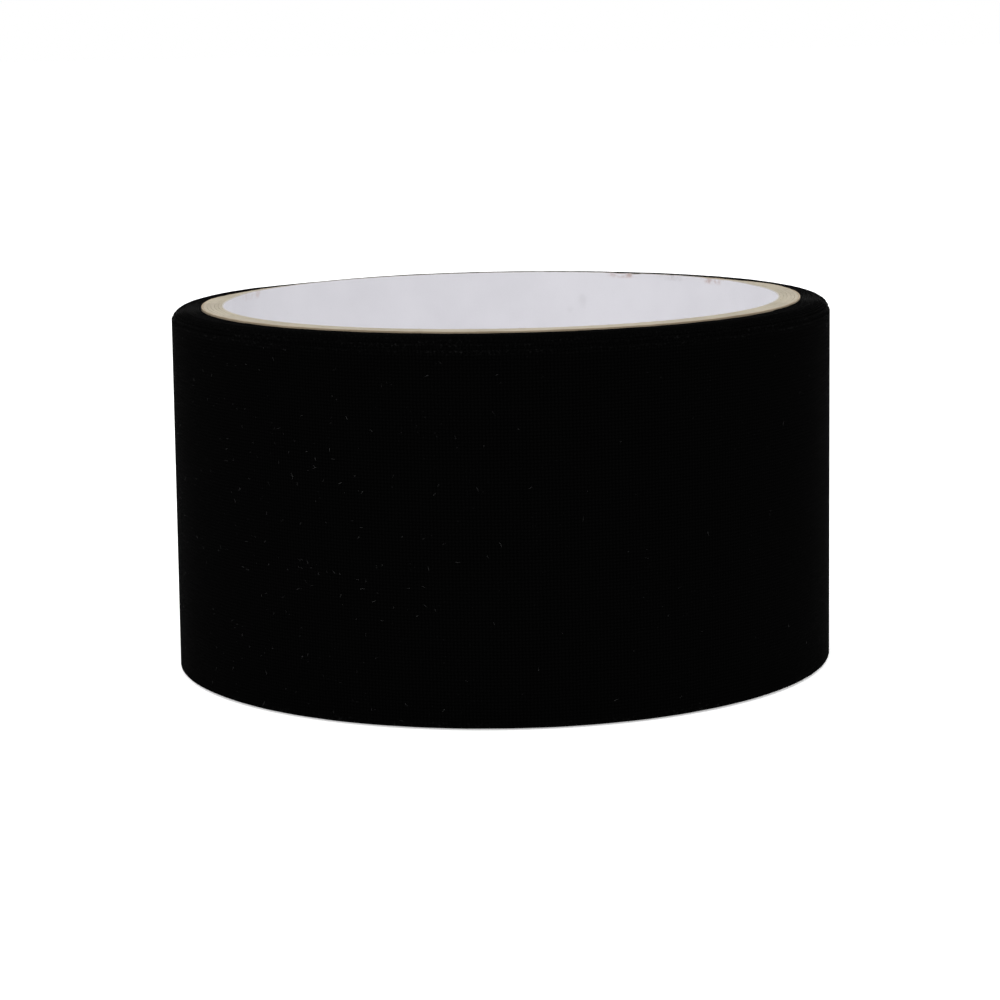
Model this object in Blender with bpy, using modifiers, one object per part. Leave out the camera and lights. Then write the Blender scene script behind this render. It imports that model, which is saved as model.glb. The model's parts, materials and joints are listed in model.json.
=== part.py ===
"""A roll of cloth grip tape on a paper core, with a free end that peels off the roll.

Metres, +Z up. The roll's axis is Z, and it stands on the lower edge of its core at Z = 0.
The tape is one strip, wound anticlockwise as seen from above, so its free end points that way.
"""

import math

import bmesh
import bpy
from mathutils import Vector

MM = 0.001

# The core: a paper tube made of plies, from the bore outwards.
CORE_LENGTH = 50.0 * MM
BORE_RADIUS = 38.25 * MM
CORE_RADIUS = 41.25 * MM
LINER_THICKNESS = 0.20 * MM
WRAP_THICKNESS = 0.22 * MM
BOARD_PLIES = 5
GLUE_LINE = 0.02 * MM

# The tape: a cloth strip with adhesive on its inner face.
TAPE_WIDTH = 49.7 * MM
TAPE_FOOT = 0.1 * MM
ADHESIVE_THICKNESS = 0.050 * MM
CLOTH_THICKNESS = 0.167 * MM
LAYER_GAP = 0.010 * MM
TURNS = 16.5

# The free end: the last stretch of the outermost turn, cut into hinged lengths.
FREE_END_ANGLE = math.radians(150)
TAIL_LENGTHS = 4
TAIL_FACETS = 2
HINGE_GAP = 0.3 * MM

# Every turn has the same facets as the core, so that all the flats are parallel.
FACETS = 36
FACET_ANGLE = 2 * math.pi / FACETS
SHARP_ANGLE = math.radians(35)

TAPE_THICKNESS = ADHESIVE_THICKNESS + LAYER_GAP + CLOTH_THICKNESS
PITCH = TAPE_THICKNESS + LAYER_GAP
LAST_STEP = round(TURNS * FACETS)
PEEL_STEP = LAST_STEP - TAIL_LENGTHS * TAIL_FACETS

# Colour, roughness and metallic value of each material.
FINISHES = {
    "liner_paper": ((0.66, 0.65, 0.68), 0.75, 0.0),
    "grey_board": ((0.47, 0.41, 0.33), 0.90, 0.0),
    "kraft_wrap": ((0.36, 0.28, 0.19), 0.85, 0.0),
    "tape_cloth": ((0.006, 0.006, 0.006), 0.85, 0.0),
    "tape_adhesive": ((0.018, 0.014, 0.010), 0.45, 0.0),
}


def clear_scene():
    for obj in list(bpy.data.objects):
        bpy.data.objects.remove(obj)


def make_collection(name):
    collection = bpy.data.collections.new(name)
    bpy.context.scene.collection.children.link(collection)
    return collection


def make_materials():
    """One Principled material for each finish, by name."""
    made = {}
    for name, (colour, roughness, metallic) in FINISHES.items():
        material = bpy.data.materials.new(name)
        material.use_nodes = True
        shader = material.node_tree.nodes["Principled BSDF"]
        shader.inputs["Base Color"].default_value = (*colour, 1.0)
        shader.inputs["Roughness"].default_value = roughness
        shader.inputs["Metallic"].default_value = metallic
        material.diffuse_color = (*colour, 1.0)
        made[name] = material
    return made


def make_object(name, mesh, material, collection):
    mesh.materials.append(material)
    obj = bpy.data.objects.new(name, mesh)
    collection.objects.link(obj)
    return obj


def apply_modifiers(obj):
    """Gives the object its evaluated mesh, shaded smooth except at its corners."""
    bpy.context.view_layer.update()
    graph = bpy.context.evaluated_depsgraph_get()
    mesh = bpy.data.meshes.new_from_object(obj.evaluated_get(graph))
    obj.modifiers.clear()
    obj.data = mesh
    mesh.shade_smooth()
    mesh.set_sharp_from_angle(angle=SHARP_ANGLE)


def make_ply(name, inner, thickness, material, collection):
    """A tube of the core's full length: a rectangle turned about Z."""
    outer = inner + thickness
    section = [(outer, CORE_LENGTH), (outer, 0.0), (inner, 0.0), (inner, CORE_LENGTH)]
    mesh = bpy.data.meshes.new(name)
    corners = [(radius, 0.0, height) for radius, height in section]
    edges = [(i, (i + 1) % len(corners)) for i in range(len(corners))]
    mesh.from_pydata(corners, edges, [])
    ply = make_object(name, mesh, material, collection)
    screw = ply.modifiers.new("turn", "SCREW")
    screw.axis = "Z"
    screw.angle = 2 * math.pi
    screw.steps = screw.render_steps = FACETS
    apply_modifiers(ply)
    return ply


def make_core(materials, collection):
    """The liner, the board plies and the outer wrap, each a glue line outside the one before."""
    wall = CORE_RADIUS - BORE_RADIUS
    glue_lines = (BOARD_PLIES + 1) * GLUE_LINE
    board = (wall - LINER_THICKNESS - WRAP_THICKNESS - glue_lines) / BOARD_PLIES
    plies = [("core_liner", LINER_THICKNESS, "liner_paper")]
    plies += [(f"core_board_{i + 1}", board, "grey_board") for i in range(BOARD_PLIES)]
    plies += [("core_outer_wrap", WRAP_THICKNESS, "kraft_wrap")]
    inner = BORE_RADIUS
    for name, thickness, finish in plies:
        make_ply(name, inner, thickness, materials[finish], collection)
        inner += thickness + GLUE_LINE


def strip_point(step, offset):
    """Where the wound strip passes at a step from its start, offset outwards from its inner face."""
    angle = FREE_END_ANGLE - (LAST_STEP - step) * FACET_ANGLE
    radius = CORE_RADIUS + LAYER_GAP + PITCH * step / FACETS + offset
    return Vector((radius * math.cos(angle), radius * math.sin(angle), 0.0))


def strip_path(first, last, offset, trim_first, trim_last):
    """The strip's points from one step to another, with its ends drawn back along its flats."""
    path = [strip_point(step, offset) for step in range(first, last + 1)]
    path[0] += (path[1] - path[0]).normalized() * trim_first
    path[-1] += (path[-2] - path[-1]).normalized() * trim_last
    return path


def make_strip(name, path, thickness, origin, material, collection):
    """A strip of the tape's width that stands on its path, with its thickness outside the path."""
    form = bmesh.new()
    low = [form.verts.new(point + Vector((0, 0, TAPE_FOOT)) - origin) for point in path]
    high = [form.verts.new(vert.co + Vector((0, 0, TAPE_WIDTH))) for vert in low]
    for i in range(len(path) - 1):
        form.faces.new((low[i], low[i + 1], high[i + 1], high[i]))
    mesh = bpy.data.meshes.new(name)
    form.to_mesh(mesh)
    form.free()
    strip = make_object(name, mesh, material, collection)
    solidify = strip.modifiers.new("thickness", "SOLIDIFY")
    solidify.thickness = thickness
    solidify.offset = 1.0
    solidify.use_even_offset = True
    apply_modifiers(strip)
    return strip


def make_layers(suffixed, first, last, trims, origin, materials, collection):
    """The adhesive and the cloth over one stretch of the strip. suffixed names each of them."""
    layers = [
        ("adhesive", 0.0, ADHESIVE_THICKNESS),
        ("cloth", ADHESIVE_THICKNESS + LAYER_GAP, CLOTH_THICKNESS),
    ]
    made = []
    for layer, offset, thickness in layers:
        path = strip_path(first, last, offset, *trims)
        material = materials[f"tape_{layer}"]
        name = suffixed.format(layer)
        made.append(make_strip(name, path, thickness, origin, material, collection))
    return made


def make_hinge(number, step, parent, collection):
    """An empty on the strip's mid-thickness, parented to the hinge before it."""
    hinge = bpy.data.objects.new(f"tail_hinge_{number}", None)
    hinge.empty_display_size = TAPE_WIDTH / 4
    collection.objects.link(hinge)
    place = strip_point(step, TAPE_THICKNESS / 2)
    hinge.parent = parent
    bpy.context.view_layer.update()
    hinge.location = place - parent.matrix_world.translation if parent else place
    return hinge, place


def make_tape(materials, collection):
    """The wound strip, and its free end as a chain of hinged lengths."""
    half_gap = HINGE_GAP / 2
    whole = Vector((0, 0, 0))
    make_layers("tape_{}", 0, PEEL_STEP, (0.0, half_gap), whole, materials, collection)
    hinge = None
    for i in range(TAIL_LENGTHS):
        first = PEEL_STEP + i * TAIL_FACETS
        last = first + TAIL_FACETS
        trims = (half_gap, half_gap if last < LAST_STEP else 0.0)
        hinge, place = make_hinge(i + 1, first, hinge, collection)
        suffixed = "tail_{}_" + str(i + 1)
        for layer in make_layers(suffixed, first, last, trims, place, materials, collection):
            layer.parent = hinge


clear_scene()
roll = make_collection("grip_tape_roll")
finishes = make_materials()
make_core(finishes, roll)
make_tape(finishes, roll)
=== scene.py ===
"""Looks of a roll of black cloth grip tape on a paper core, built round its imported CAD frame.

Metres, +Z up, with the roll's axis on Z. Angles go anticlockwise as seen from above. A place on the
strip of tape is an unrolled angle, which grows by a whole turn with each turn that is wound.
"""

import json
import math

import bpy
import numpy as np
from mathutils import Matrix, Vector


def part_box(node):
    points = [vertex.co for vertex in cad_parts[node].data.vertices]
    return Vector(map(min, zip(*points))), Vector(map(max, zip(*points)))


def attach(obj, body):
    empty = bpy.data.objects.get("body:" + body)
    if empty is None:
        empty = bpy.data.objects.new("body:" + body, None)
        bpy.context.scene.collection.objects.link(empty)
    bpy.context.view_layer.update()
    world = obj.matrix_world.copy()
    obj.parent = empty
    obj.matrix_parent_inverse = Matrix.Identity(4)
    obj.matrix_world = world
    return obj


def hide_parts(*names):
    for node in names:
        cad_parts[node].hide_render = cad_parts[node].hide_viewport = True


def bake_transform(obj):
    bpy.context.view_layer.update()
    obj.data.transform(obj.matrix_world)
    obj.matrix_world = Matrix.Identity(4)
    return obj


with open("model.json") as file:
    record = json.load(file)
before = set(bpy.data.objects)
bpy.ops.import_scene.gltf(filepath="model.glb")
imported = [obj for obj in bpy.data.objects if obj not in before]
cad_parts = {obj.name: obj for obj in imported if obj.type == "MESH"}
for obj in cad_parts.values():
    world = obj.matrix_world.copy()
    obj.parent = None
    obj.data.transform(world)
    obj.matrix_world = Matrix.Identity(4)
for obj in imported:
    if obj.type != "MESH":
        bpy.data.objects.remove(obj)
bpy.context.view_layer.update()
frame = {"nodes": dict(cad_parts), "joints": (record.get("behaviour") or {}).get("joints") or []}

MM = 0.001
TURN = 2 * math.pi
ROLL = "roll"

# The strip of tape, from its inner face outwards, as in the CAD.
ADHESIVE_THICKNESS = 0.050 * MM
CLOTH_THICKNESS = 0.167 * MM
LAYER_GAP = 0.010 * MM
TURNS = 16.5
CLOTH_OFFSET = ADHESIVE_THICKNESS + LAYER_GAP
TAPE_THICKNESS = CLOTH_OFFSET + CLOTH_THICKNESS
PITCH = TAPE_THICKNESS + LAYER_GAP

# The weave's pitch, the rounding of the cloth's edges, and the adhesive's setback from them.
THREAD_PITCH = 0.45 * MM
EDGE_ROUNDING = 0.045 * MM
WOUND_SETBACK, TAIL_SETBACK = 0.04 * MM, 0.15 * MM

# The meshes' steps round the roll, and rows across the tape's width and the liner's height.
CLOTH_STEPS, GLUE_STEPS, TAIL_STEPS, PLY_STEPS = 180, 90, 540, 360
CLOTH_ROWS, TAIL_GLUE_ROWS, LINER_ROWS = 8, 4, 51
SHARP_ANGLE = math.radians(40)

# The roll's outer corners are rounded: the depth of each, and how far in from the outside it reaches.
# The last stretch of the strip, this many turns long, is taken in by the full depth.
HEAD_CORNER = (1.64 * MM, 2.0 * MM)
FOOT_CORNER = (0.24 * MM, 0.83 * MM)
FULL_DEPTH_TURNS = 0.75

# How far the outermost turn stands off on the roll's -X side: all of it, and how much more at its foot.
SIDE_SLACK, FOOT_SLACK = 0.2 * MM, 0.5 * MM

# How far the free end stands off at its last three hinges.
HINGE_SET = 0.22 * MM

# The tape's edges wander in waves of these spans in radians, and its upper edge dips at one place.
EDGE_SPANS = (0.13, 0.31, 0.9, 2.3, 7.9, 17.0)
FOOT_WANDER, HEAD_WANDER = 0.022 * MM, 0.030 * MM
HEAD_DIP = 0.16 * MM
DIP_ANGLE, DIP_REACH = math.radians(132), math.radians(14)

# The plies of the core, each rolled from a strip whose two sides meet at a seam. The liner's seam is
# helical: it starts at one angle at the upper edge, and travels this far round on its way down.
SEAM_GAP = 0.10 * MM
PLY_ROUNDING = 0.015 * MM
BOARD_RAGGED, WRAP_RAGGED, LINER_RAGGED = 0.015 * MM, 0.02 * MM, 0.015 * MM
SEAM_TOP, SEAM_TRAVEL = math.radians(-40), math.radians(164)
LINER_FOOT, LINER_DROP = 0.03 * MM, 0.02 * MM
LINER_RIPPLE = 0.012 * MM

# The core's cut is uneven at the back: the board is lower there, and the liner stands above it. The
# back begins where the sine of the shifted angle is at its start, and fades in over a little more.
BOARD_DIP, LINER_RISE = 0.20 * MM, 0.16 * MM
BACK_SHIFT = math.radians(6)
BACK_START, BACK_FADE = 0.20, 0.30

# Tears in the liner's upper edge: angle and half-width in degrees, and depth.
LINER_TEARS = [(62, 1.6, 0.10 * MM), (58, 1.2, 0.12 * MM), (37, 2.0, 0.12 * MM), (33, 1.2, 0.10 * MM)]


# ---------------------------------------------------------------- places read from the frame


def ply_radii(node):
    """Inner and outer radius of a ply of the core."""
    points = np.array([v.co for v in frame["nodes"][node].data.vertices])
    radii = np.hypot(points[:, 0], points[:, 1])
    return float(radii.min()), float(radii.max())


BORE_RADIUS = ply_radii("core_liner")[0]
CORE_RADIUS = ply_radii("core_outer_wrap")[1]
CORE_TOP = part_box("core_board_1")[1].z
TAPE_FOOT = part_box("tape_cloth")[0].z
TAPE_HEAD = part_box("tape_cloth")[1].z
TAPE_WIDTH = TAPE_HEAD - TAPE_FOOT

HINGES = [Vector(joint["pos_m"]) for joint in frame["joints"]]
HINGE_ANGLES = [math.atan2(place.y, place.x) for place in HINGES]
TAIL_STEP = HINGE_ANGLES[1] - HINGE_ANGLES[0]
TAIL_MIDDLES = [angle + TAIL_STEP / 2 for angle in HINGE_ANGLES]
FREE_END = HINGE_ANGLES[-1] + TAIL_STEP
STRIP_START = FREE_END - TURNS * TURN

# The wound tape ends a little before the peel line, and its dust gathers round one angle.
LEAD_IN = math.radians(5)
WOUND_END = HINGE_ANGLES[0] - LEAD_IN
DUSTY_ANGLE, DUSTY_SPREAD = math.radians(-130), 0.35

UP = np.array([0.0, 0.0, 1.0])


def polar(radius, angle, height):
    return np.array([radius * math.cos(angle), radius * math.sin(angle), height])


def outward(angle):
    return np.array([math.cos(angle), math.sin(angle), 0.0])


def ahead_of(angle):
    return np.array([-math.sin(angle), math.cos(angle), 0.0])


def strip_radius(angle):
    """Radius of the strip's inner face at an unrolled angle."""
    return CORE_RADIUS + LAYER_GAP + PITCH * (angle - STRIP_START) / TURN


def strip_length(angle):
    """Length of the strip from its start on the core to an unrolled angle."""
    turned = angle - STRIP_START
    return turned * (strip_radius(STRIP_START) + strip_radius(angle)) / 2


# ---------------------------------------------------------------- meshes


class Form:
    """Points, faces and texture places gathered for one piece."""

    def __init__(self):
        self.points, self.faces, self.places = [], [], []

    def add(self, points, faces, places):
        """places holds one (along, across) pair in metres for each corner of each face."""
        first = len(self.points)
        self.points.extend(map(tuple, points))
        self.faces.extend(tuple(first + i for i in face) for face in faces)
        self.places.extend(places)

    def build(self, name, material, body=None, *replaced):
        mesh = bpy.data.meshes.new(name)
        mesh.from_pydata(self.points, [], self.faces)
        layer = mesh.uv_layers.new(name="strip")
        layer.data.foreach_set("uv", np.array(self.places, np.float32).ravel())
        mesh.shade_smooth()
        mesh.set_sharp_from_angle(angle=SHARP_ANGLE)
        mesh.materials.append(material)
        obj = bpy.data.objects.new(name, mesh)
        bpy.context.scene.collection.objects.link(obj)
        if body:
            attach(obj, body)
        if replaced:
            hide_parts(*replaced)
        return obj


def swept(rings, along, around):
    """Points, faces and places of a tube through rings of points, with a face at each end.

    along is the texture place of each ring and around that of each point, with one more where the
    ring closes.
    """
    count, size = rings.shape[:2]
    faces, places = [], []
    for i in range(count - 1):
        here, there = i * size, (i + 1) * size
        for j in range(size):
            k = (j + 1) % size
            faces.append((here + j, there + j, there + k, here + k))
            low, high = around[j], around[j + 1]
            places += [(along[i], low), (along[i + 1], low), (along[i + 1], high), (along[i], high)]
    last = (count - 1) * size
    faces.append(tuple(range(size)))
    faces.append(tuple(last + j for j in reversed(range(size))))
    places += [(along[0], around[j]) for j in range(size)]
    places += [(along[-1], around[j]) for j in reversed(range(size))]
    return rings.reshape(-1, 3), faces, places


def ring_points(radii, angles, heights):
    """Points from arrays of cylindrical places, with one ring in each row."""
    return np.stack([radii * np.cos(angles), radii * np.sin(angles), heights], axis=2)


def places_around(offsets, heights):
    """The texture place of each point round a closed section, and of its first point once more."""
    outline = np.column_stack([offsets, heights])
    spans = np.linalg.norm(np.roll(outline, -1, axis=0) - outline, axis=1)
    return np.concatenate([[0.0], np.cumsum(spans)])


def layer_section(inner, outer, rounding, rows):
    """A layer's cross-section as (radius offset, share of the width, height trim) in order round it.

    The first point is at the foot of the outer face, and the ring goes up that face.
    """
    bevel = 0.3 * rounding
    section = [(outer, i / (rows - 1), 0.0) for i in range(rows)]
    section[0] = (outer, 0.0, rounding)
    section[-1] = (outer, 1.0, -rounding)
    section += [(outer - bevel, 1.0, -bevel), (outer - rounding, 1.0, 0.0)]
    section += [(inner, 1.0, 0.0), (inner, 0.0, 0.0)]
    section += [(outer - rounding, 0.0, 0.0), (outer - bevel, 0.0, bevel)]
    return np.array(section)


def waves(angle, seed, spans, size):
    """A smooth wander of about this size, made of waves of these spans in radians."""
    rng = np.random.default_rng(seed)
    total = np.zeros_like(np.asarray(angle, float))
    for span in spans:
        total += np.sin(TURN * angle / span + rng.uniform(0, TURN)) * rng.uniform(0.6, 1.0)
    return size * total / math.sqrt(len(spans))


def corner_depth(angle, corner):
    """How far a rounded corner of the roll takes in the strip's edge."""
    depth, reach = corner
    inside = np.maximum(0.0, (FREE_END - np.asarray(angle)) / TURN - FULL_DEPTH_TURNS)
    share = np.clip(1.0 - inside * PITCH / reach, 0.0, 1.0)
    return depth * (1.0 - np.sqrt(1.0 - share**2))


def edge_heights(angle):
    """Heights of the strip's lower and upper edge, which wander a little from turn to turn."""
    foot = TAPE_FOOT + waves(angle, 11, EDGE_SPANS, FOOT_WANDER) + corner_depth(angle, FOOT_CORNER)
    head = TAPE_HEAD + waves(angle, 12, EDGE_SPANS, HEAD_WANDER) - corner_depth(angle, HEAD_CORNER)
    aside = np.mod(np.asarray(angle) - DIP_ANGLE + math.pi, TURN) - math.pi
    return foot, head - HEAD_DIP * np.exp(-((aside / DIP_REACH) ** 2))


def hinge_set(angle):
    """How far the free end's curl lifts it at its last three hinges.

    Without it the strip would be drawn in there when they are open, and ripple more.
    """
    turned = (angle - TAIL_MIDDLES[0]) / TAIL_STEP
    bent = np.clip(turned, 0.0, len(TAIL_MIDDLES) - 1.0) % 1.0
    return HINGE_SET * (4.0 * bent * (1.0 - bent)) ** 2


def stand_off(angle, share):
    """How far the strip stands off from its even spiral.

    share is the share of its width that lies below the place. The turns are looser on the roll's -X
    side, most of all at their foot.
    """
    wound = (angle - STRIP_START) / (FREE_END - STRIP_START)
    side = np.maximum(0.0, -np.cos(angle)) ** 2
    return wound * side * (SIDE_SLACK + FOOT_SLACK * (1.0 - share)) + hinge_set(angle)


def cloth_place(angle, share, lift=0.0):
    """A point lifted off the cloth's outer face, at a share of the strip's width above its foot."""
    foot, head = edge_heights(angle)
    radius = strip_radius(angle) + TAPE_THICKNESS + lift
    return polar(radius + stand_off(angle, share), angle, foot + share * (head - foot))


def add_layer(form, first, last, inner, outer, steps, rows=2, setback=0.0, rounding=0.0):
    """Adds one layer of the strip between two unrolled angles."""
    count = max(2, math.ceil((last - first) / TURN * steps) + 1)
    angles = np.linspace(first, last, count)
    foot, head = edge_heights(angles)
    section = layer_section(inner, outer, rounding, rows)
    radii = strip_radius(angles)[:, None] + section[None, :, 0]
    radii = radii + stand_off(angles[:, None], section[None, :, 1])
    height = (head - foot - 2 * setback)[:, None] * section[None, :, 1] + section[None, :, 2]
    rings = ring_points(radii, angles[:, None], (foot + setback)[:, None] + height)
    around = places_around(section[:, 0], section[:, 1] * TAPE_WIDTH + section[:, 2])
    form.add(*swept(rings, [strip_length(angle) for angle in angles], around))


def add_cloth(form, first, last, steps, rows=2):
    """Adds the cloth layer of a stretch of the strip."""
    add_layer(form, first, last, CLOTH_OFFSET, TAPE_THICKNESS, steps, rows, rounding=EDGE_ROUNDING)


def add_glue(form, first, last, setback, steps, rows=2):
    """Adds the adhesive layer of a stretch of the strip."""
    add_layer(form, first, last, 0.0, ADHESIVE_THICKNESS, steps, rows, setback=setback)


# ---------------------------------------------------------------- threads and fibres

# The cross threads' ends, at the cloth's edges: the share that shows, the share that is long, how deep
# they are rooted, and their least and greatest lengths and radii.
THREADS_SHOWN, LONG_THREADS = 1.0, 0.05
THREAD_ROOT = 0.06 * MM
SHORT_THREAD, LONG_THREAD = (0.08 * MM, 0.2 * MM), (0.25 * MM, 0.55 * MM)
THREAD_RADIUS = (0.03 * MM, 0.055 * MM)

# The same for the threads that stick out of the free end.
SHORT_END_THREADS = 0.8
END_THREAD_ROOT = 0.1 * MM
SHORT_END_THREAD, LONG_END_THREAD = (0.25 * MM, 0.6 * MM), (0.7 * MM, 1.5 * MM)
END_THREAD_RADIUS = (0.04 * MM, 0.07 * MM)

# A hair's sides, the shares of its length where it has a ring, and how much it tapers.
HAIR_SIDES = 3
HAIR_RINGS = np.array([0.0, 0.35, 0.7, 1.0])
HAIR_TAPER = 0.65


def add_hairs(form, bases, directions, lengths, radii, rng, curl, place=(0.0, 0.0)):
    """Adds one thin tapered hair at each base."""
    faces = []
    for here in range(0, (len(HAIR_RINGS) - 1) * HAIR_SIDES, HAIR_SIDES):
        there = here + HAIR_SIDES
        for j in range(HAIR_SIDES):
            k = (j + 1) % HAIR_SIDES
            faces.append((here + j, here + k, there + k, there + j))
    faces.append(tuple(reversed(range(HAIR_SIDES))))
    faces.append(tuple(there + j for j in range(HAIR_SIDES)))
    corners = sum(len(face) for face in faces)
    for base, direction, length, radius in zip(bases, directions, lengths, radii):
        ahead = direction / np.linalg.norm(direction)
        side = np.cross(ahead, rng.normal(size=3))
        side /= np.linalg.norm(side)
        other = np.cross(ahead, side)
        bend = (side * rng.normal() + other * rng.normal()) * curl
        points = []
        for share in HAIR_RINGS:
            centre = base + length * (ahead * share + bend * share * share)
            width = radius * (1.0 - HAIR_TAPER * share)
            for j in range(HAIR_SIDES):
                turn = TURN * j / HAIR_SIDES
                points.append(centre + width * (math.cos(turn) * side + math.sin(turn) * other))
        form.add(points, faces, [place] * corners)


def add_edge_threads(form, first, last, seed):
    """Adds the cut ends of the cross threads, which stand out of both edges of the cloth.

    The long ones are thin, and only at the upper edge.
    """
    rng = np.random.default_rng(seed)
    radius = strip_radius((first + last) / 2) + TAPE_THICKNESS
    count = int((last - first) * radius / THREAD_PITCH)
    for up in (1, -1):
        bases, directions, lengths, widths = [], [], [], []
        for i in range(count):
            if rng.random() > THREADS_SHOWN:
                continue
            angle = first + (i + 0.5 + rng.uniform(-0.2, 0.2)) * (last - first) / count
            inset = CLOTH_THICKNESS * rng.uniform(0.15, 0.6)
            bases.append(cloth_place(angle, 1.0 if up > 0 else 0.0, -inset) - UP * up * THREAD_ROOT)
            lean = ahead_of(angle) * rng.normal(0, 0.25) + outward(angle) * rng.normal(0.12, 0.22)
            directions.append(UP * up + lean)
            long = rng.random() < LONG_THREADS and up > 0
            lengths.append(rng.uniform(*(LONG_THREAD if long else SHORT_THREAD)))
            widths.append(rng.uniform(*THREAD_RADIUS) * (0.5 if long else 1.0))
        across = TAPE_WIDTH if up > 0 else 0.0
        add_hairs(form, bases, directions, lengths, widths, rng, 0.25, (strip_length(first), across))


def add_end_threads(form, seed):
    """Adds the threads that run along the strip and stick out of its torn free end."""
    rng = np.random.default_rng(seed)
    count = int(TAPE_WIDTH / THREAD_PITCH)
    bases, directions, lengths, widths = [], [], [], []
    for i in range(count):
        middle = cloth_place(FREE_END, (i + 0.5) / count, -CLOTH_THICKNESS / 2)
        bases.append(middle - ahead_of(FREE_END) * END_THREAD_ROOT)
        lean = UP * rng.normal(0, 0.18) + outward(FREE_END) * rng.normal(-0.02, 0.1)
        directions.append(ahead_of(FREE_END) + lean)
        short = rng.random() < SHORT_END_THREADS
        lengths.append(rng.uniform(*(SHORT_END_THREAD if short else LONG_END_THREAD)))
        widths.append(rng.uniform(*END_THREAD_RADIUS))
    across = TAPE_WIDTH / 2
    add_hairs(form, bases, directions, lengths, widths, rng, 0.2, (strip_length(FREE_END), across))


# ---------------------------------------------------------------- materials


def node(tree, kind, inputs=(), **settings):
    """Adds a shader node. Each input is a value, or the output of another node that it is linked to."""
    made = tree.nodes.new("ShaderNode" + kind)
    for key, value in settings.items():
        setattr(made, key, value)
    for key, value in dict(inputs).items():
        if isinstance(value, bpy.types.NodeSocket):
            tree.links.new(value, made.inputs[key])
        else:
            made.inputs[key].default_value = value
    return made


def calc(tree, operation, a, b=0.0, c=0.0):
    return node(tree, "Math", {0: a, 1: b, 2: c}, operation=operation).outputs[0]


def noise(tree, place, scale, detail=3.0, roughness=0.6):
    """Noise with this many cells in a metre."""
    inputs = {"Vector": place, "Scale": scale, "Detail": detail, "Roughness": roughness}
    return node(tree, "TexNoise", inputs).outputs["Fac"]


def remap(tree, value, low, high, to_low=0.0, to_high=1.0):
    """Goes smoothly from to_low to to_high as the value goes from low to high."""
    inputs = {"Value": value, 1: low, 2: high, 3: to_low, 4: to_high}
    return node(tree, "MapRange", inputs, interpolation_type="SMOOTHSTEP").outputs[0]


def opaque(colour):
    """A colour for a node's input: a socket as it is, or three numbers with an alpha."""
    return colour if isinstance(colour, bpy.types.NodeSocket) else (*colour, 1.0)


def mix(tree, share, a, b):
    """Mixes two colours, each a socket or three numbers. 6, 7 and 2 are the Mix node's colour sockets."""
    return node(tree, "Mix", {0: share, 6: opaque(a), 7: opaque(b)}, data_type="RGBA").outputs[2]


def grey(level):
    return (level, level, level)


def toned(colour, share):
    """A colour with each of its parts times a share."""
    return tuple(share * part for part in colour)


def new_material(name, specular):
    """A Principled material with its constant values set, its node tree and its shader."""
    material = bpy.data.materials.new(name)
    material.use_nodes = True
    tree = material.node_tree
    shader = tree.nodes["Principled BSDF"]
    shader.inputs["Specular IOR Level"].default_value = specular
    return material, tree, shader


# The weave: how far its threads drift from straight, how round they are, and how deep its bump is.
THREAD_DRIFT, THREAD_ROUNDNESS = 0.22 * MM, 0.6
CLOTH_BUMP, ADHESIVE_BUMP = 0.07 * MM, 0.03 * MM

# The cloth's colours: between its threads (a painted shade) and on top of them, a painted highlight of
# glints near its edges, its dust with painted glints, and its cut edge.
CLOTH_SPECULAR = 0.0015
SHADED_THREAD_GAP, THREAD_TOP, EDGE_GLINT = grey(0.0002), grey(0.0013), grey(0.007)
DUST_AND_GLINT, CUT_CLOTH = (0.014, 0.014, 0.0145), (0.0036, 0.0036, 0.0037)
EDGE_GLINT_REACH, CUT_REACH = 1.1 * MM, 0.06 * MM

# The adhesive's colours where it is thin, thick and lies over a thread.
THIN_FILM, THICK_FILM, OVER_THREAD = (0.010, 0.008, 0.006), (0.022, 0.017, 0.011), grey(0.003)


def strip_place(tree):
    return node(tree, "UVMap", uv_map="strip").outputs[0]


def object_place(tree):
    return node(tree, "TexCoord").outputs["Object"]


def finish(tree, shader, colour, roughness, height, depth):
    """Links colour, roughness and bump to the shader. depth is the bump's in metres."""
    tree.links.new(colour, shader.inputs["Base Color"])
    tree.links.new(roughness, shader.inputs["Roughness"])
    bump = node(tree, "Bump", {"Height": height, "Distance": depth, "Strength": 1.0})
    tree.links.new(bump.outputs[0], shader.inputs["Normal"])


def weave(tree, place):
    """Height of a plain weave, 0 between its threads and 1 on top of them."""
    drift = node(tree, "TexNoise", {"Vector": place, "Scale": 900.0, "Detail": 2.0}).outputs["Color"]
    centred = node(tree, "VectorMath", {0: drift, 1: (0.5, 0.5, 0.5)}, operation="SUBTRACT").outputs[0]
    shift = node(tree, "VectorMath", {0: centred, "Scale": THREAD_DRIFT}, operation="SCALE").outputs[0]
    moved = node(tree, "VectorMath", {0: place, 1: shift}, operation="ADD").outputs[0]
    parts = node(tree, "SeparateXYZ", {0: moved})
    turn = math.pi / THREAD_PITCH
    along = calc(tree, "COSINE", calc(tree, "MULTIPLY", parts.outputs[0], turn))
    across = calc(tree, "COSINE", calc(tree, "MULTIPLY", parts.outputs[1], turn))
    over = calc(tree, "MULTIPLY_ADD", calc(tree, "MULTIPLY", along, across), 0.5, 0.5)
    under = calc(tree, "SUBTRACT", 1.0, over)
    long_rise = calc(tree, "POWER", calc(tree, "ABSOLUTE", across), THREAD_ROUNDNESS)
    cross_rise = calc(tree, "POWER", calc(tree, "ABSOLUTE", along), THREAD_ROUNDNESS)
    long_threads = calc(tree, "MULTIPLY", long_rise, over)
    cross_threads = calc(tree, "MULTIPLY", cross_rise, under)
    return calc(tree, "MAXIMUM", long_threads, cross_threads)


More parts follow.
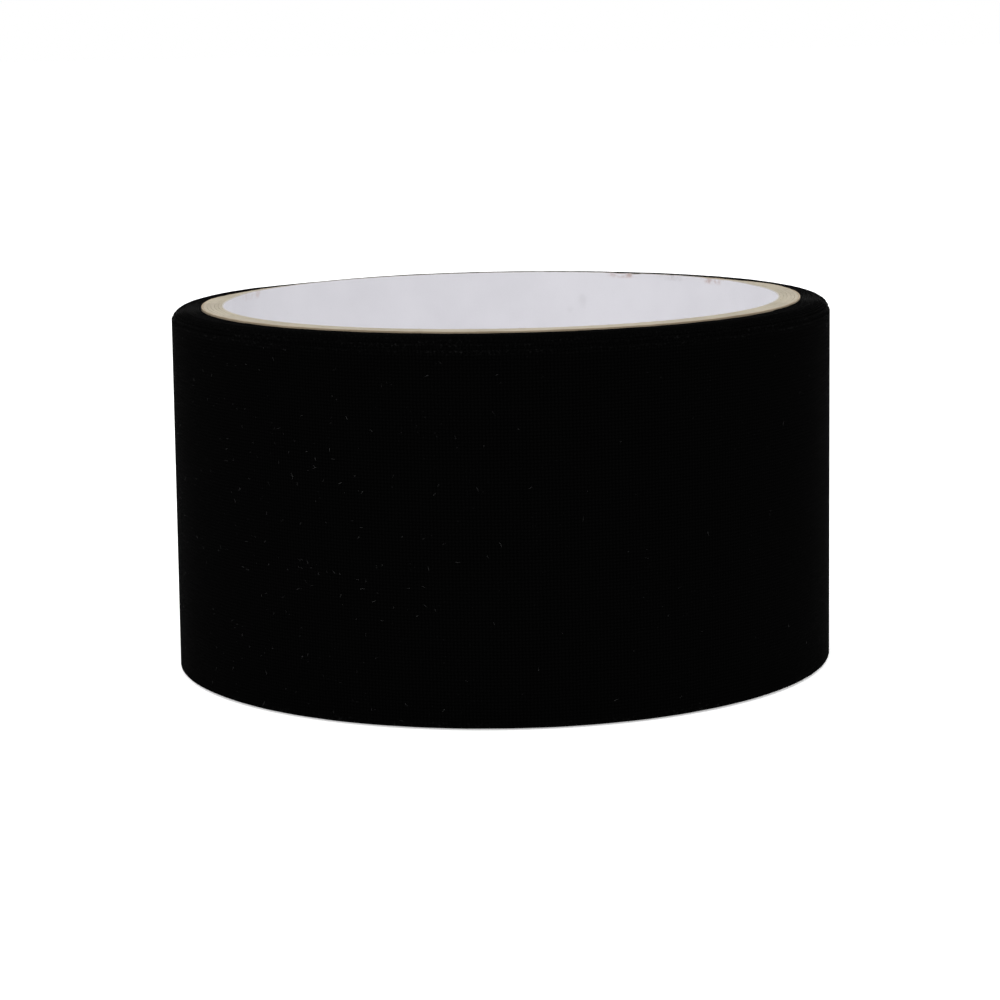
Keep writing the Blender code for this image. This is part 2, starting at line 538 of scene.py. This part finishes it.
def cloth_material():
    """Black cotton cloth: a plain weave with painted shade between its threads, a little dust with
    painted glints, a painted highlight near its edges, and paler at its cut edges.
    """
    material, tree, shader = new_material("black_cloth", CLOTH_SPECULAR)
    place = strip_place(tree)
    height = weave(tree, place)
    parts = node(tree, "SeparateXYZ", {0: place})
    half_width = TAPE_WIDTH / 2
    from_middle = calc(tree, "ABSOLUTE", calc(tree, "SUBTRACT", parts.outputs[1], half_width))
    edge = remap(tree, from_middle, half_width - EDGE_GLINT_REACH, half_width + 0.02 * MM)
    cut = remap(tree, from_middle, half_width - CUT_REACH, half_width + 0.01 * MM)
    fine = noise(tree, place, 2600.0)
    blotch = noise(tree, place, 90.0)
    # Painted shade: the gaps of the weave are made far darker than the thread tops, as if shade fell
    # there.
    thread = mix(tree, height, SHADED_THREAD_GAP, THREAD_TOP)
    patches = remap(tree, blotch, 0.45, 0.62, 0.25, 1.0)
    # Painted highlight: sparse lighter strokes near both edges stand for light glinting on the threads of
    # the rounded rim.
    glint_share = calc(tree, "MULTIPLY", calc(tree, "MULTIPLY", edge, remap(tree, fine, 0.50, 0.68)), patches)
    glinted = mix(tree, calc(tree, "MULTIPLY", glint_share, 0.8), thread, EDGE_GLINT)
    # Dust and painted highlight: sparse pale specks are partly lint and partly glints of light on single
    # threads.
    lint_and_glint = calc(tree, "MULTIPLY", remap(tree, fine, 0.66, 0.74), remap(tree, blotch, 0.45, 0.65))
    dust_and_glints = mix(tree, calc(tree, "MULTIPLY", lint_and_glint, 0.55), glinted, DUST_AND_GLINT)
    colour = mix(tree, calc(tree, "MULTIPLY", cut, 0.75), dust_and_glints, CUT_CLOTH)
    roughness = remap(tree, fine, 0.3, 0.7, 0.78, 0.95)
    relief = calc(tree, "MULTIPLY_ADD", fine, 0.35, height)
    finish(tree, shader, colour, roughness, relief, CLOTH_BUMP)
    return material


def adhesive_material(name, specular, tone):
    """Dark tacky rubber adhesive that shows the cloth's threads through its surface.

    tone is the share of its full brightness; a tone below 1 is a painted shade.
    """
    material, tree, shader = new_material(name, specular)
    place = strip_place(tree)
    height = weave(tree, place)
    streak = noise(tree, place, 260.0)
    fine = noise(tree, place, 3000.0)
    film = mix(tree, remap(tree, streak, 0.35, 0.65), toned(THIN_FILM, tone), toned(THICK_FILM, tone))
    colour = mix(tree, calc(tree, "MULTIPLY", height, 0.4), film, toned(OVER_THREAD, tone))
    roughness = remap(tree, fine, 0.3, 0.7, 0.28, 0.5)
    relief = calc(tree, "MULTIPLY_ADD", fine, 0.2, calc(tree, "MULTIPLY", height, 0.5))
    finish(tree, shader, colour, roughness, relief, ADHESIVE_BUMP)
    return material


# The tones of the papers and boards. A board's dark tone is a share of its pale one.
PAPER_SPECULAR = 0.3
DARK_BOARD = 0.88
LINER_PALE, LINER_DARK = (0.695, 0.688, 0.720), (0.655, 0.648, 0.680)
LINER_FIBRE, LINER_CUT = (0.5, 0.49, 0.5), (0.40, 0.37, 0.32)
KRAFT_PALE, KRAFT_DARK = (0.36, 0.29, 0.205), (0.30, 0.235, 0.16)
FIBRE_PALE, FIBRE_DARK = (0.50, 0.40, 0.30), (0.36, 0.27, 0.19)
BOARD_TONES = [
    (0.388, 0.344, 0.264),
    (0.373, 0.332, 0.254),
    (0.393, 0.347, 0.269),
    (0.378, 0.334, 0.257),
    (0.388, 0.342, 0.262),
]
GLUE_PINK, FAINT_PINK, SMUDGE_GREY = (0.47, 0.36, 0.34), (0.58, 0.51, 0.50), (0.50, 0.49, 0.51)

# Smudges on the liner: angle in degrees, distance below its upper edge, reach and strength.
LINER_MARKS = [(71, 4.2 * MM, 1.6 * MM, 0.25), (74, 5.6 * MM, 0.9 * MM, 0.2)]

# Stains along the liner's upper edge: angle and half-width in degrees, reach below the edge, shade.
LINER_STAINS = [
    (61.0, 4.5, 0.8 * MM, GLUE_PINK),
    (48.0, 3.5, 0.9 * MM, SMUDGE_GREY),
    (36.0, 4.0, 1.0 * MM, GLUE_PINK),
    (159.0, 6.0, 1.2 * MM, FAINT_PINK),
]


def paper_material(name, pale, dark, fibre_scale, depth):
    """Uncoated paper or board: two close tones, matted fibres and a faint grain."""
    material, tree, shader = new_material(name, PAPER_SPECULAR)
    place = object_place(tree)
    cloudy = noise(tree, place, 120.0)
    fibres = noise(tree, place, fibre_scale, 4.0, 0.7)
    tone = mix(tree, remap(tree, cloudy, 0.35, 0.65), dark, pale)
    flecks = remap(tree, fibres, 0.60, 0.74)
    colour = mix(tree, calc(tree, "MULTIPLY", flecks, 0.45), tone, toned(dark, 0.72))
    roughness = remap(tree, fibres, 0.3, 0.7, 0.7, 0.92)
    finish(tree, shader, colour, roughness, fibres, depth)
    return material


def add_smudges(tree, place, colour):
    """The liner's colour with its smudges, each a ragged ball round a point of its inner face."""
    for degrees, below, reach, strength in LINER_MARKS:
        centre = tuple(polar(BORE_RADIUS, math.radians(degrees), CORE_TOP - below))
        away = node(tree, "VectorMath", {0: place, 1: centre}, operation="DISTANCE").outputs["Value"]
        ragged = calc(tree, "MULTIPLY_ADD", noise(tree, place, 900.0), 0.9 * reach, away)
        share = remap(tree, ragged, 0.55 * reach, 1.25 * reach, strength, 0.0)
        colour = mix(tree, share, colour, SMUDGE_GREY)
    return colour


def add_stains(tree, place, colour):
    """The liner's colour with the stains along its upper edge, broken into patches."""
    parts = node(tree, "SeparateXYZ", {0: place})
    angle = calc(tree, "ARCTAN2", parts.outputs[1], parts.outputs[0])
    patches = remap(tree, noise(tree, place, 600.0), 0.40, 0.68)
    for centre, half_width, reach, shade in LINER_STAINS:
        aside = calc(tree, "ABSOLUTE", calc(tree, "SUBTRACT", angle, math.radians(centre)))
        beside = remap(tree, aside, 0.4 * math.radians(half_width), math.radians(half_width), 1.0, 0.0)
        high = remap(tree, parts.outputs[2], CORE_TOP - reach, CORE_TOP - 0.3 * reach)
        share = calc(tree, "MULTIPLY", calc(tree, "MULTIPLY", beside, high), patches)
        colour = mix(tree, calc(tree, "MULTIPLY", share, 0.9), colour, shade)
    return colour


def liner_material():
    """White lining paper with faint smudges, stains at its upper edge and a browner cut edge."""
    material, tree, shader = new_material("white_liner", PAPER_SPECULAR)
    place = object_place(tree)
    cloudy = noise(tree, place, 60.0)
    fibres = noise(tree, place, 2200.0, 4.0, 0.7)
    tone = mix(tree, remap(tree, cloudy, 0.35, 0.65), LINER_DARK, LINER_PALE)
    colour = mix(tree, calc(tree, "MULTIPLY", remap(tree, fibres, 0.6, 0.75), 0.12), tone, LINER_FIBRE)
    colour = add_stains(tree, place, add_smudges(tree, place, colour))
    over = node(tree, "SeparateXYZ", {0: strip_place(tree)}).outputs[1]
    from_edge = calc(tree, "ABSOLUTE", calc(tree, "SUBTRACT", over, CORE_TOP + 0.1 * MM))
    cut = remap(tree, from_edge, 0.10 * MM, 0.20 * MM, 0.85, 0.0)
    colour = mix(tree, cut, colour, LINER_CUT)
    roughness = remap(tree, fibres, 0.3, 0.7, 0.6, 0.8)
    finish(tree, shader, colour, roughness, fibres, 0.012 * MM)
    return material


# ---------------------------------------------------------------- the core

# Loose fibres on the core's cut edge, and the share of them that lie where the liner is torn.
PAPER_FIBRES, TORN_SHARE = 420, 0.45


def at_back(angle):
    """1 on the roll's +Y side, which fades to 0 on its other sides."""
    share = np.clip((np.sin(angle - BACK_SHIFT) - BACK_START) / BACK_FADE, 0.0, 1.0)
    return share * share * (3.0 - 2.0 * share)


def make_ply(node_name, name, material, seed, raggedness):
    """A ply of the core, rolled from a strip whose two sides meet at a seam."""
    inner, outer = ply_radii(node_name)
    rng = np.random.default_rng(seed)
    seam = rng.uniform(0, TURN)
    angles = seam + np.linspace(0, TURN - SEAM_GAP / outer, PLY_STEPS)
    spans = (0.021, 0.037, 0.083, 0.21, 0.7)
    head = CORE_TOP + waves(angles, seed + 1, spans, raggedness) - raggedness
    head = head - BOARD_DIP * at_back(angles)
    foot = waves(angles, seed + 2, spans, raggedness * 0.5) + raggedness
    soft = PLY_ROUNDING
    middle = (outer + inner) / 2
    heights = [0.0, 0.25, 0.5, 0.75, 1.0]
    section = [(outer, share, 0.0) for share in heights]
    section[0], section[-1] = (outer, 0.0, soft), (outer, 1.0, -soft)
    section += [(outer - soft, 1.0, 0.0), (middle, 1.0, 0.3 * soft), (inner + soft, 1.0, 0.0)]
    section += [(inner, share, 0.0) for share in reversed(heights)]
    section[-1], section[-len(heights)] = (inner, 0.0, soft), (inner, 1.0, -soft)
    section += [(inner + soft, 0.0, 0.0), (middle, 0.0, 0.0), (outer - soft, 0.0, 0.0)]
    section = np.array(section)
    radii = np.broadcast_to(section[None, :, 0], (len(angles), len(section)))
    height = foot[:, None] + (head - foot)[:, None] * section[None, :, 1] + section[None, :, 2]
    rings = ring_points(radii, angles[:, None], height)
    around = places_around(section[:, 0], section[:, 1] * CORE_TOP)
    form = Form()
    form.add(*swept(rings, angles * outer, around))
    form.build(name, material, ROLL, node_name)


def make_core():
    """The board plies, the outer wrap and the liner."""
    for i, tone in enumerate(BOARD_TONES):
        board = paper_material(f"grey_board_{i + 1}", tone, toned(tone, DARK_BOARD), 1500.0, 0.05 * MM)
        make_ply(f"core_board_{i + 1}", f"board_ply_{i + 1}", board, 40 + 3 * i, BOARD_RAGGED)
    kraft = paper_material("kraft_wrap", KRAFT_PALE, KRAFT_DARK, 1800.0, 0.03 * MM)
    make_ply("core_outer_wrap", "kraft_outer_wrap", kraft, 60, WRAP_RAGGED)
    make_liner()


def make_liner():
    """The white lining paper, with a helical seam and a torn stretch of its upper edge."""
    inner, outer = ply_radii("core_liner")
    turned = np.linspace(0, TURN - SEAM_GAP / inner, PLY_STEPS)
    shares = np.linspace(0, 1, LINER_ROWS)
    lean = SEAM_TOP - SEAM_TRAVEL * (1 - shares)
    top_angles = SEAM_TOP + turned
    ragged = waves(top_angles, 71, (0.025, 0.06, 0.2, 0.8), LINER_RAGGED)
    head = CORE_TOP - LINER_DROP + ragged - torn_depth(top_angles)
    head = head + LINER_RISE * at_back(top_angles)
    section = [(outer, share) for share in shares] + [(inner, share) for share in reversed(shares)]
    section = np.array(section)
    offsets = np.concatenate([lean, lean[::-1]])
    angles = turned[:, None] + offsets[None, :]
    radii = section[None, :, 0] - np.abs(waves(angles, 72, (0.35, 0.9, 1.7), LINER_RIPPLE))
    height = LINER_FOOT + (head - LINER_FOOT)[:, None] * section[None, :, 1]
    rings = ring_points(radii, angles, height)
    around = places_around(section[:, 0], section[:, 1] * CORE_TOP)
    form = Form()
    form.add(*swept(rings, turned * inner, around))
    liner = form.build("white_liner", liner_material(), ROLL, "core_liner")


def torn_depth(angles):
    """How far the liner's upper edge is torn down at each angle."""
    depth = np.zeros_like(angles)
    for centre, half_width, most in LINER_TEARS:
        away = (angles - math.radians(centre) + math.pi) % TURN - math.pi
        depth += most * np.exp(-((away / math.radians(half_width)) ** 2))
    return depth


def make_torn_fibres():
    """Paper fibres that stand up where the core was cut, nearly half of them where the liner is torn."""
    rng = np.random.default_rng(81)
    pale = paper_material("paper_fibres", FIBRE_PALE, FIBRE_DARK, 900.0, 0.01 * MM)
    form = Form()
    bases, directions, lengths, widths = [], [], [], []
    for _ in range(PAPER_FIBRES):
        torn = rng.random() < TORN_SHARE
        angle = math.radians(rng.normal(45, 13)) if torn else rng.uniform(0, TURN)
        low = BORE_RADIUS + (0.05 if torn else 0.3) * MM
        radius = rng.uniform(low, BORE_RADIUS + 0.9 * MM if torn else CORE_RADIUS - 0.1 * MM)
        bases.append(polar(radius, angle, CORE_TOP - 0.05 * MM))
        lean = ahead_of(angle) * rng.normal(0, 1.2) + outward(angle) * rng.normal(-0.3, 1.0)
        directions.append(UP * rng.uniform(0.15, 0.6) + lean)
        lengths.append(rng.uniform(0.12, 0.45 if torn else 0.25) * MM)
        widths.append(rng.uniform(0.012, 0.028) * MM)
    add_hairs(form, bases, directions, lengths, widths, rng, 0.5)
    form.build("torn_paper_fibres", pale, ROLL)


# ---------------------------------------------------------------- the tape

# The adhesive stops this far before the free end.
GLUE_STOP = math.radians(0.4)

# Lint on the outermost turn: how many fibres, and the share of them round the dusty angle.
LINT_FIBRES, DUSTY_SHARE = 320, 0.65
LINT_PALE, LINT_DARK = grey(0.055), grey(0.03)

# It lies where the outermost turn shows, from just past the free end round to just before the peel line.
LINT_FIRST, LINT_LAST = HINGE_ANGLES[0] - TURN + 1.45, HINGE_ANGLES[0] - 0.1


def make_wound_tape(cloth, adhesive):
    """The strip up to just before the peel line."""
    form = Form()
    add_cloth(form, STRIP_START, WOUND_END, CLOTH_STEPS)
    add_edge_threads(form, WOUND_END - TURN, WOUND_END, 21)
    wound = form.build("wound_cloth", cloth, ROLL, "tape_cloth")
    form = Form()
    add_glue(form, STRIP_START, WOUND_END, WOUND_SETBACK, GLUE_STEPS)
    glue = form.build("wound_adhesive", adhesive, ROLL, "tape_adhesive")


def make_tail(cloth, adhesive):
    """The free end as pieces that meet halfway between the hinges, each reaching across one hinge."""
    for i, hinge in enumerate(HINGE_ANGLES):
        last_piece = i == len(HINGE_ANGLES) - 1
        first = TAIL_MIDDLES[i - 1] if i else WOUND_END
        last = FREE_END if last_piece else TAIL_MIDDLES[i]
        form = Form()
        add_cloth(form, first, last, TAIL_STEPS, CLOTH_ROWS)
        add_edge_threads(form, first, last, 31 + i)
        if last_piece:
            add_end_threads(form, 36)
        strip = form.build(f"tail_strip_{i + 1}", cloth)
        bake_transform(strip)
        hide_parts(f"tail_cloth_{i + 1}")
        form = Form()
        end = last - GLUE_STOP if last_piece else last
        add_glue(form, first, end, TAIL_SETBACK, TAIL_STEPS, TAIL_GLUE_ROWS)
        glue = form.build(f"tail_glue_{i + 1}", adhesive)
        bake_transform(glue)
        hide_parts(f"tail_adhesive_{i + 1}")


def make_lint():
    """Short pale fibres of dust that lie on the outermost turn, before the peel line."""
    rng = np.random.default_rng(91)
    dust = paper_material("dust_lint", LINT_PALE, LINT_DARK, 900.0, 0.005 * MM)
    form = Form()
    bases, directions, lengths, widths = [], [], [], []
    for _ in range(LINT_FIBRES):
        if rng.random() < DUSTY_SHARE:
            angle = np.clip(rng.normal(DUSTY_ANGLE, DUSTY_SPREAD), LINT_FIRST, LINT_LAST)
        else:
            angle = rng.uniform(LINT_FIRST, LINT_LAST)
        bases.append(cloth_place(angle, rng.uniform(0.01, 0.99)))
        way = rng.uniform(0, TURN)
        directions.append(math.cos(way) * ahead_of(angle) + math.sin(way) * UP + 0.06 * outward(angle))
        lengths.append(rng.uniform(0.15, 0.6) * MM)
        widths.append(rng.uniform(0.008, 0.018) * MM)
    add_hairs(form, bases, directions, lengths, widths, rng, 0.12)
    form.build("lint_fibres", dust, ROLL)


# ---------------------------------------------------------------- floor, light and camera


def make_floor():
    """A wide white floor that glows a little, so that it is as white as the world behind it."""
    material, _, shader = new_material("pale_floor", specular=0.0)
    shader.inputs["Roughness"].default_value = 1.0
    shader.inputs["Base Color"].default_value = (0.9, 0.9, 0.9, 1.0)
    shader.inputs["Emission Color"].default_value = (1.0, 1.0, 1.0, 1.0)
    shader.inputs["Emission Strength"].default_value = 0.45
    half = 6.0
    mesh = bpy.data.meshes.new("floor")
    corners = [(-half, -half, 0.0), (half, -half, 0.0), (half, half, 0.0), (-half, half, 0.0)]
    mesh.from_pydata(corners, [], [(0, 1, 2, 3)])
    mesh.materials.append(material)
    floor = bpy.data.objects.new("floor", mesh)
    bpy.context.scene.collection.objects.link(floor)


def add_soft_box(name, place, target, size, power):
    """A square area light that faces the target."""
    light = bpy.data.lights.new(name, "AREA")
    light.size = size
    light.energy = power
    lamp = bpy.data.objects.new(name, light)
    lamp.location = place
    lamp.rotation_euler = (Vector(target) - Vector(place)).to_track_quat("-Z", "Y").to_euler()
    bpy.context.scene.collection.objects.link(lamp)


def make_light():
    """A white world and two soft lights, from the front left and from above."""
    world = bpy.data.worlds.new("white_studio")
    world.use_nodes = True
    background = world.node_tree.nodes["Background"]
    background.inputs["Color"].default_value = (1.0, 1.0, 1.0, 1.0)
    background.inputs["Strength"].default_value = 1.0
    bpy.context.scene.world = world
    middle = (0.0, 0.0, CORE_TOP / 2)
    add_soft_box("key", (-0.30, -0.62, 0.75), middle, 0.45, 1.8)
    add_soft_box("top", (0.1, 0.1, 0.9), middle, 0.6, 1.5)
    bpy.context.scene.view_settings.view_transform = "Standard"


def make_camera():
    """The camera looks slightly down at the roll, and is tilted a little clockwise."""
    pitch, tilt = math.radians(9.756), math.radians(1.019)
    distance, aside, above = 395.9 * MM, 0.591 * MM, 3.265 * MM
    forward = Vector((0.0, math.cos(pitch), -math.sin(pitch)))
    right = Vector((1.0, 0.0, 0.0))
    up = right.cross(forward)
    centre = Vector((0.0, 0.0, (TAPE_FOOT + TAPE_HEAD) / 2))
    place = centre - forward * distance - right * aside - up * above
    right_tilted = right * math.cos(tilt) - up * math.sin(tilt)
    up_tilted = right * math.sin(tilt) + up * math.cos(tilt)
    data = bpy.data.cameras.new("camera")
    data.sensor_width = 36.0
    data.lens = 101.81
    data.clip_start, data.clip_end = 0.01, 50.0
    camera = bpy.data.objects.new("camera", data)
    axes = Matrix((right_tilted, up_tilted, -forward)).transposed().to_4x4()
    camera.matrix_world = Matrix.Translation(place) @ axes
    bpy.context.scene.collection.objects.link(camera)
    bpy.context.scene.camera = camera


make_camera()
make_light()
make_floor()
black_cloth = cloth_material()
dark_adhesive = adhesive_material("dark_adhesive", specular=0.35, tone=1.0)
# Painted shade: the adhesive between the wound turns is the same adhesive at a fifth of its brightness,
# as it lies in shade there.
shaded_adhesive = adhesive_material("shaded_adhesive", specular=CLOTH_SPECULAR, tone=0.2)
make_core()
make_torn_fibres()
make_wound_tape(black_cloth, shaded_adhesive)
make_tail(black_cloth, dark_adhesive)
make_lint()
